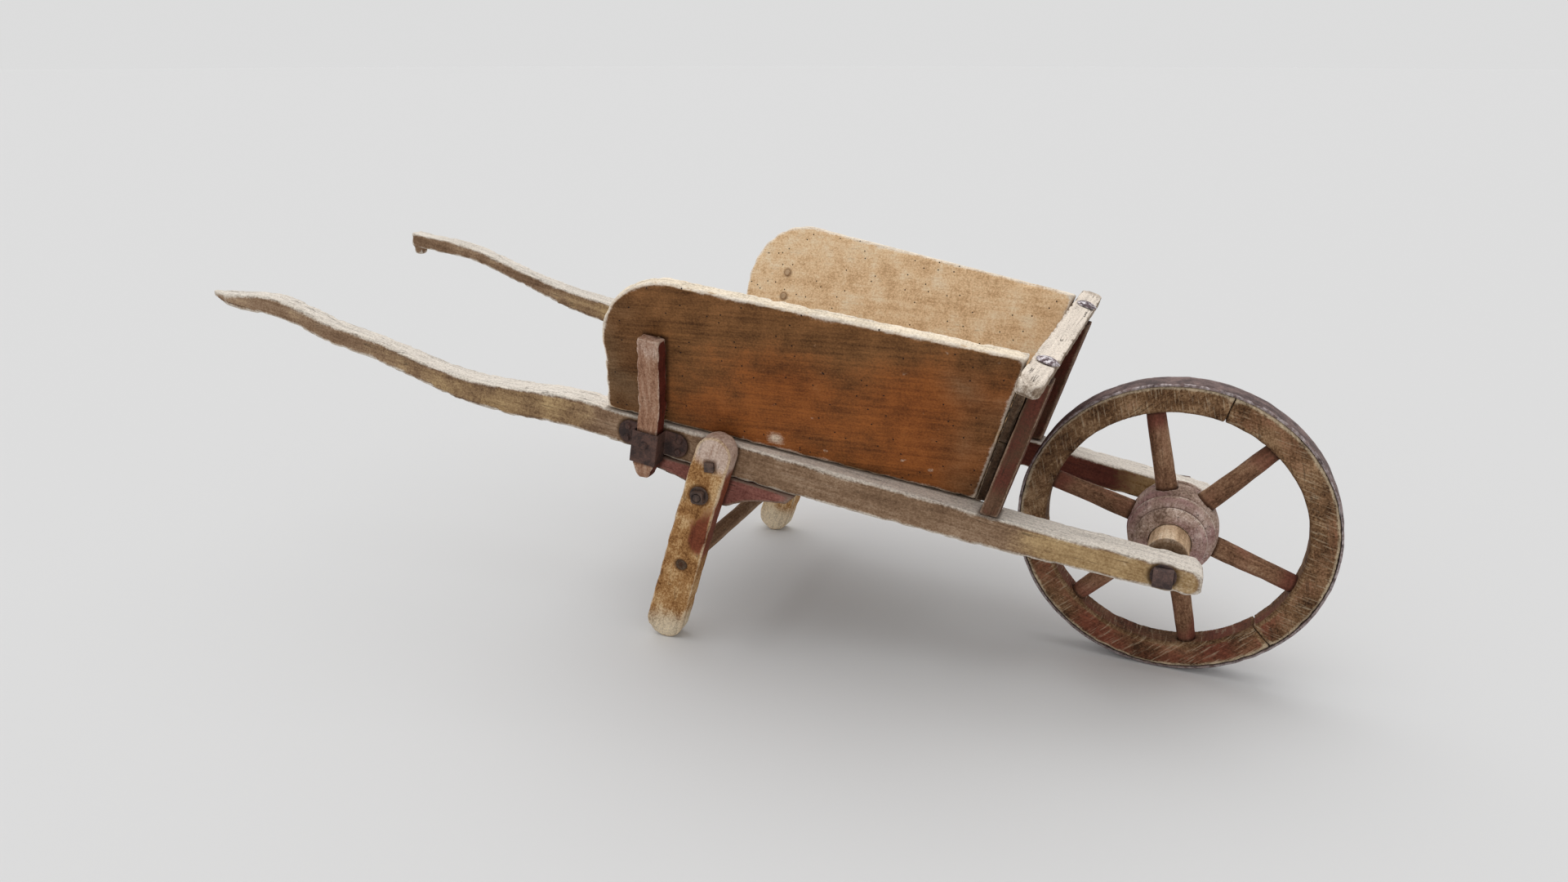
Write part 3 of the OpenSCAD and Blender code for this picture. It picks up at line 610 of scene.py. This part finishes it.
bolt_iron = iron("bolt_iron", (0.045, 0.03, 0.026), (0.16, 0.1, 0.075), (0.42, 0.36, 0.34), 3.0)
for name, node in (("leg_bolt_pair", "leg_bolts"), ("leg_nut_pair", "leg_nuts"),
                   ("leg_washer_pair", "leg_washers"), ("small_bolt_pair", "upper_leg_bolts")):
    axes = Matrix.Rotation(SPLAY, 3, "Z")
    piece = carve(name, node, axes, 0.0008 if node == "leg_washers" else 0.001)
    weather(piece, node, axes, passes=1, seed=50.0, chip=0.0009, wave=0.0004)
    settle(piece, node, "frame", bolt_iron)

# ---- Staples for the stakes ----
# A strap of wrought iron is bent round each stake and nailed to the shaft on both sides of it.
# The loop hangs a little lower than the nailed ends.

strap_iron = iron("strap_iron", (0.042, 0.024, 0.021), (0.14, 0.072, 0.055), (0.3, 0.22, 0.2),
                  4.0)
for hand, node in ((-1, "staple_right"), (1, "staple_left")):
    axes = shaft_axes(hand)
    staple = carve(side_name(hand) + "_staple", node, axes, 0.0009)
    weather(staple, node, axes, passes=2, seed=53.0 + hand, chip=0.0005, wave=0.0003)
    settle(staple, node, "frame", strap_iron)
dress_cad("staple_nails", strap_iron, 0.0006)

# ---- Side boards ----
# Each is one wide elm board with a round back corner. The outside keeps a rusty brown stain, the
# inside is scoured to bare wood, its colour raised with painted light to make up for the shade in
# the tray, and loads have worn its top edge pale and ragged.

side_wood = wood(
    "side_wood", ((0.6, 0.38, 0.2), (0.88, 0.63, 0.38), (0.96, 0.8, 0.57)),
    pale=(0.95, 0.83, 0.66), worn=(0.95, 0.86, 0.74), grime_and_shade=(0.24, 0.165, 0.115), seed=15.0,
    mottle=1.0, holes=0.16, checks=0.2, fleck=0.3,
    coats=[("stain", (0.085, 0.034, 0.01), (0.31, 0.14, 0.05), 1.6),
           ("rust", (0.14, 0.034, 0.006), (0.36, 0.115, 0.026), 0.9),
           ("dusk", (0.06, 0.036, 0.016), (0.24, 0.145, 0.075), 0.8)])

BOARD_TURN = SPLAY + math.radians(1.29)  # the boards splay a little more than the shafts
BOARD_TILT = math.radians(16.3)  # and lean outwards

for hand in (-1, 1):
    node, body = "side_board_" + side_name(hand), "side_" + side_name(hand)
    along = Vector((math.cos(BOARD_TURN), -hand * math.sin(BOARD_TURN), 0))
    face = Vector((math.sin(BOARD_TURN) * math.cos(BOARD_TILT),
                   hand * math.cos(BOARD_TURN) * math.cos(BOARD_TILT), -math.sin(BOARD_TILT)))
    axes = board_axes(along, face)
    board = carve(side_name(hand) + "_side", node, axes, 0.0028)
    co, out = weather(board, node, axes, seed=60.0 + hand, chip=0.0024, wave=0.0007, passes=3)
    outer = between(out @ np.array(face), 0.25, 0.8)
    inner = between(out @ np.array(face), -0.25, -0.8)
    rim = 1 - outer - inner
    x, z = co[:, 0], co[:, 2]
    blotch = drift(co, 0.11, 5.0 + hand)
    rust = 0.62 * between(x, -0.1, 0.05) * between(z, 0.52, 0.4) + 0.3 * blotch
    dusk = 0.5 * between(x, 0.0, -0.13) + 0.25 * drift(co, 0.05, 9.0) + 0.3 * between(x, 0.3, 0.38)
    # pale scuffs all over, and one knock above the middle of the shaft
    scuff = 0.42 * between(drift(co, 0.013, 21.0), 0.5, 0.75)
    scuff += 0.55 * np.exp(-((x - 0.115) / 0.017) ** 2 - ((z - 0.327) / 0.013) ** 2)
    notes(board, stain=0.95 * outer + 0.1 * rim, rust=rust * outer, dusk=dusk * outer,
          bleach=0.9 * rim * between(z, 0.33, 0.4) + inner * (0.2 + 0.25 * drift(co, 0.06))
          + scuff * outer)
    settle(board, node, body, side_wood)

# ---- Stakes ----
# A tapered stake is nailed up the back of each side board and drops through its staple.
# Its face is worn bare, and red paint is left on its two sides.

stake_wood = wood(
    "stake_wood", ((0.16, 0.066, 0.036), (0.37, 0.2, 0.125), (0.58, 0.39, 0.28)),
    pale=(0.66, 0.5, 0.42), worn=(0.62, 0.46, 0.36), grime_and_shade=(0.2, 0.125, 0.1), seed=16.0,
    coats=[("paint", (0.05, 0.007, 0.004), (0.17, 0.035, 0.02), 2.2)])
for hand, node, body in ((-1, "stake_right", "side_right"), (1, "stake_left", "side_left")):
    axes = board_axes((0.1, hand * 0.15, 0.98), (0, hand, 0))
    stake = carve(side_name(hand) + "_stake", node, axes, 0.0022)
    co, out = weather(stake, node, axes, seed=64.0 + hand, chip=0.002, wave=0.0008, passes=1)
    flank = between(abs(out[:, 0]), 0.45, 0.8)
    notes(stake, paint=0.95 * flank + 0.3 * between(co[:, 2], 0.36, 0.3),
          bleach=0.35 * between(co[:, 2], 0.41, 0.45) * (1 - flank) + 0.1)
    settle(stake, node, body, stake_wood)
dull_nail = iron("dull_nail", (0.42, 0.29, 0.17), (0.6, 0.43, 0.27), (0.62, 0.48, 0.33), 7.0)
dress_cad("stake_nails_right", dull_nail, 0.0005)
dress_cad("stake_nails_left", dull_nail, 0.0005)

# ---- Axle rod ----
# One forged rod goes through both shafts and the wheel, with a big square head on the right
# and a square nut on the left, each on a round washer.

axle_iron = iron("axle_iron", (0.05, 0.032, 0.03), (0.16, 0.095, 0.08), (0.45, 0.38, 0.37), 5.0)
for name, node in (("rod", "axle_rod"), ("rod_washers", "axle_washers"), ("rod_nut", "axle_nut")):
    piece = carve(name, node, Matrix.Identity(3), 0.0012)
    weather(piece, node, Matrix.Identity(3), passes=1, seed=70.0, chip=0.001, wave=0.0005)
    settle(piece, node, "frame", axle_iron)

# ---- Hub and wooden axle ----
# The hub is a turned elm block with a bead each side of its belly. A pale wooden axle is
# driven through it, and spins with it on the iron rod.

hub_wood = wood(
    "hub_wood", ((0.17, 0.105, 0.075), (0.42, 0.3, 0.235), (0.7, 0.57, 0.48)),
    pale=(0.78, 0.68, 0.6), worn=(0.72, 0.62, 0.54), grime_and_shade=(0.17, 0.115, 0.1), seed=18.0,
    mottle=1.1, checks=0.8,
    coats=[("paint", (0.14, 0.045, 0.05), (0.42, 0.24, 0.23), 1.2)])
AXLE = Vector((0.6325, 0, 0.21))  # middle of the wheel


def from_axle(co):
    return np.hypot(co[:, 0] - AXLE.x, co[:, 2] - AXLE.z)


axes = board_axes((0, 1, 0), (0, 0, 1))
hub = carve("turned_hub", "hub", axes, 0.0017)
co, out = weather(hub, "hub", axes, passes=1, seed=74.0, wave=0.0006)
along = abs(co[:, 1]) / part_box("hub")[1].y  # 0 at the middle of the hub, 1 at its ends
groove = hump(along, 0.405, 0.03) + hump(along, 0.74, 0.03)
bead = hump(along, 0.5, 0.05) + hump(along, 0.83, 0.045)
far = from_axle(co)
pull = -0.003 * groove * between(far, 0.03, 0.04)
for k, middle in ((0, AXLE.x), (2, AXLE.z)):
    co[:, k] += (co[:, k] - middle) / far * pull
place_points(hub, co)
# the grooves are darkened, partly with grime and partly as painted shade
notes(hub, bleach=0.16 + 0.3 * bead + 0.2 * between(abs(out[:, 1]), 0.5, 0.9), seam=1.3 * groove,
      paint=0.45 + 0.35 * drift(co, 0.03) - 0.3 * bead)
settle(hub, "hub", "wheel", hub_wood)

axle_wood = wood(
    "axle_wood", ((0.32, 0.2, 0.11), (0.64, 0.45, 0.29), (0.86, 0.69, 0.5)),
    pale=(0.82, 0.7, 0.57), worn=(0.8, 0.67, 0.53), grime_and_shade=(0.2, 0.15, 0.12), seed=19.0)
core = carve("wheel_axle", "wooden_axle", axes, 0.002)
co, out = weather(core, "wooden_axle", axes, passes=2, seed=76.0)
# the ends of the wooden axle, beside the shafts, are darkened as painted shade
notes(core, bleach=0.25 - 0.8 * between(abs(out[:, 1]), 0.5, 0.9),
      seam=between(abs(co[:, 1]), 0.097, 0.105))
settle(core, "wooden_axle", "wheel", axle_wood)

# ---- Spokes ----
# Six round oak spokes, thickest at the hub, are driven into mortises at both ends.
# Hands and mud have rubbed most of the red paint off them.

spoke_wood = wood(
    "spoke_wood", ((0.08, 0.036, 0.018), (0.24, 0.125, 0.07), (0.48, 0.31, 0.185)),
    pale=(0.5, 0.37, 0.26), worn=(0.46, 0.32, 0.21), grime_and_shade=(0.18, 0.12, 0.095), seed=22.0,
    mottle=0.8,
    coats=[("paint", (0.085, 0.022, 0.014), (0.25, 0.085, 0.055), 1.3)])
for number in range(1, 7):
    node = f"spoke_{number}"
    low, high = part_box(node)
    run = (low + high) / 2 - AXLE
    axes = board_axes(run, (0, 1, 0))
    spoke = carve(f"wheel_spoke_{number}", node, axes, 0.0022)
    co = weather(spoke, node, axes, seed=80.0 + number, wave=0.002, swell=0.0014)[0]
    far = from_axle(co)
    paint = 0.35 + 0.3 * between(far, 0.13, 0.17) + 0.25 * drift(co, 0.03, number)
    notes(spoke, bleach=0.05, paint=paint)
    settle(spoke, node, "wheel", spoke_wood)

# ---- Rim ----
# Three sawn felloes meet in butt joints with a dowel through each. Mud and old red paint
# darken their faces, and the outer arris beside the tyre is worn pale.

rim_wood = wood(
    "rim_wood", ((0.06, 0.027, 0.012), (0.2, 0.108, 0.052), (0.42, 0.27, 0.15)),
    pale=(0.52, 0.4, 0.27), worn=(0.68, 0.55, 0.38), grime_and_shade=(0.18, 0.11, 0.09), seed=24.0,
    mottle=1.1, checks=0.5, strokes=0.45,
    coats=[("paint", (0.085, 0.02, 0.012), (0.28, 0.09, 0.05), 1.2)])
for number in range(1, 4):
    node = f"felloe_{number}"
    mid = math.radians(134.5 + 120 * (number - 1))
    axes = board_axes((-math.sin(mid), 0, math.cos(mid)), (0, 1, 0))
    felloe = carve(f"rim_part_{number}", node, axes, 0.0024)
    co = weather(felloe, node, axes, seed=90.0 + number, wave=0.0009, chip=0.0012, passes=1)[0]
    turn = np.arctan2(co[:, 2] - AXLE.z, co[:, 0] - AXLE.x)
    far = from_axle(co)
    paint = 0.36 + 0.3 * drift(co, 0.05, number) - 0.25 * between(np.sin(turn - 0.6), 0.2, 0.9)
    paint += 0.2 * between(-np.sin(turn), 0.3, 0.9)
    lit = 0.14 * between(np.sin(turn), 0.5, 0.95)
    outer_band = between(far, 0.198, 0.206)
    under_tyre = between(far, 0.2055, 0.2065)
    inner_edge = between(far, 0.178, 0.171)
    # darker under the tyre and along the inner edge, partly grime and partly painted shade
    notes(felloe, bleach=0.06 + lit + 0.25 * outer_band, paint=paint,
          wear=0.9 * between(far, 0.195, 0.203), seam=0.7 * under_tyre + 0.6 * inner_edge)
    settle(felloe, node, "wheel", rim_wood)
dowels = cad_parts["felloe_dowels"].data
dowels.materials.clear()
dowels.materials.append(axle_wood)

# ---- Tyre ----
# A flat iron hoop is shrunk on hot round the felloes. Its face and its edges are a little
# uneven from the hammer, and the road keeps its two arrises bright.

tyre_iron = iron("tyre_iron", (0.07, 0.043, 0.042), (0.24, 0.16, 0.145), (0.6, 0.53, 0.53), 6.0)
TYRE_RADIUS = 0.21
TYRE_THICK = 0.004
TYRE_WIDTH = 0.04
TYRE_ARRIS = 0.018  # how far from the middle of its face the tyre is bright
HAMMER_DENT = 0.0009
TYRE_STEPS = 300
section = []  # places across the face, and depths below it, from one inner edge to the other
for side, depth in ((-1, -TYRE_THICK), (-1, -0.0012), (-0.94, -0.0002), (-0.5, 0), (0, 0),
                    (0.5, 0), (0.94, -0.0002), (1, -0.0012), (1, -TYRE_THICK), (0, -TYRE_THICK)):
    section.append((side * TYRE_WIDTH / 2, depth))
hoop = bmesh.new()
rings = []
for i in range(TYRE_STEPS):
    turn = math.tau * i / TYRE_STEPS
    spot = Vector((math.cos(turn), 0, math.sin(turn)))
    uneven = noise.noise(spot * 5.5) + 0.7 * noise.noise(spot * 17)
    edge = noise.noise(spot * 14 + Vector((3, 1, 2))) + 0.6 * noise.noise(spot * 37)
    ring = []
    for across, depth in section:
        dent = HAMMER_DENT * (0.8 + uneven) if depth > -TYRE_THICK else 0
        place = AXLE + spot * (TYRE_RADIUS + depth - dent)
        width = across * (1 - 0.06 * (0.5 + edge))
        ring.append(hoop.verts.new(place + Vector((0, width, 0))))
    rings.append(ring)
for i in range(TYRE_STEPS):
    a, b = rings[i], rings[(i + 1) % TYRE_STEPS]
    for k in range(len(section)):
        m = (k + 1) % len(section)
        hoop.faces.new((a[k], a[m], b[m], b[k]))
bmesh.ops.recalc_face_normals(hoop, faces=hoop.faces)
mesh = bpy.data.meshes.new("iron_tyre")
hoop.to_mesh(mesh)
hoop.free()
tyre = bpy.data.objects.new("iron_tyre", mesh)
bpy.context.scene.collection.objects.link(tyre)
for face in mesh.polygons:
    face.use_smooth = True
smooth = tyre.modifiers.new("edge", "EDGE_SPLIT")
smooth.split_angle = math.radians(50)
notes(tyre, arris=np.where(abs(points(mesh)[:, 1]) > TYRE_ARRIS, 0.9, 0.2), seam=0.0)
settle(tyre, "tyre", "wheel", tyre_iron)

# ---- Floor, light and camera ----
# A plain pale floor without an edge in sight, under an overcast sky and one broad soft light.
# The camera stands abreast of the wheel on the right side, and looks back and down at the tray.


def plain(name, colour, rough):
    f = Finish(name)
    shader = f.node("BsdfPrincipled", {}, {"Base Color": colour, "Roughness": rough,
                                           "Specular IOR Level": 0.1})
    f.node("OutputMaterial", {}, {"Surface": shader})
    return f.material


mesh = bpy.data.meshes.new("studio_floor")
flat = bmesh.new()
bmesh.ops.create_circle(flat, cap_ends=True, segments=64, radius=60)
flat.to_mesh(mesh)
flat.free()
ground = bpy.data.objects.new("studio_floor", mesh)
bpy.context.scene.collection.objects.link(ground)
mesh.materials.append(plain("studio_floor", (0.673, 0.673, 0.673), 0.9))

world = bpy.data.worlds.new("overcast")
world.use_nodes = True
world.node_tree.nodes["Background"].inputs["Color"].default_value = (0.72, 0.72, 0.72, 1)
world.node_tree.nodes["Background"].inputs["Strength"].default_value = 1.0
bpy.context.scene.world = world

sun = bpy.data.lights.new("soft_light", "SUN")
sun.energy = 1.15
sun.angle = math.radians(70)
lamp = bpy.data.objects.new("soft_light", sun)
lamp.rotation_euler = (math.radians(-8), math.radians(-10), 0)
bpy.context.scene.collection.objects.link(lamp)

bpy.context.scene.view_settings.view_transform = "Standard"

camera = bpy.data.objects.new("camera", bpy.data.cameras.new("camera"))
bpy.context.scene.collection.objects.link(camera)
camera.data.lens = 24.44
camera.data.sensor_width = 36
camera.location = (0.6588, -1.4379, 0.8266)
camera.rotation_euler = (math.radians(90 - 20.19), 0, math.radians(22.89))
bpy.context.scene.camera = camera
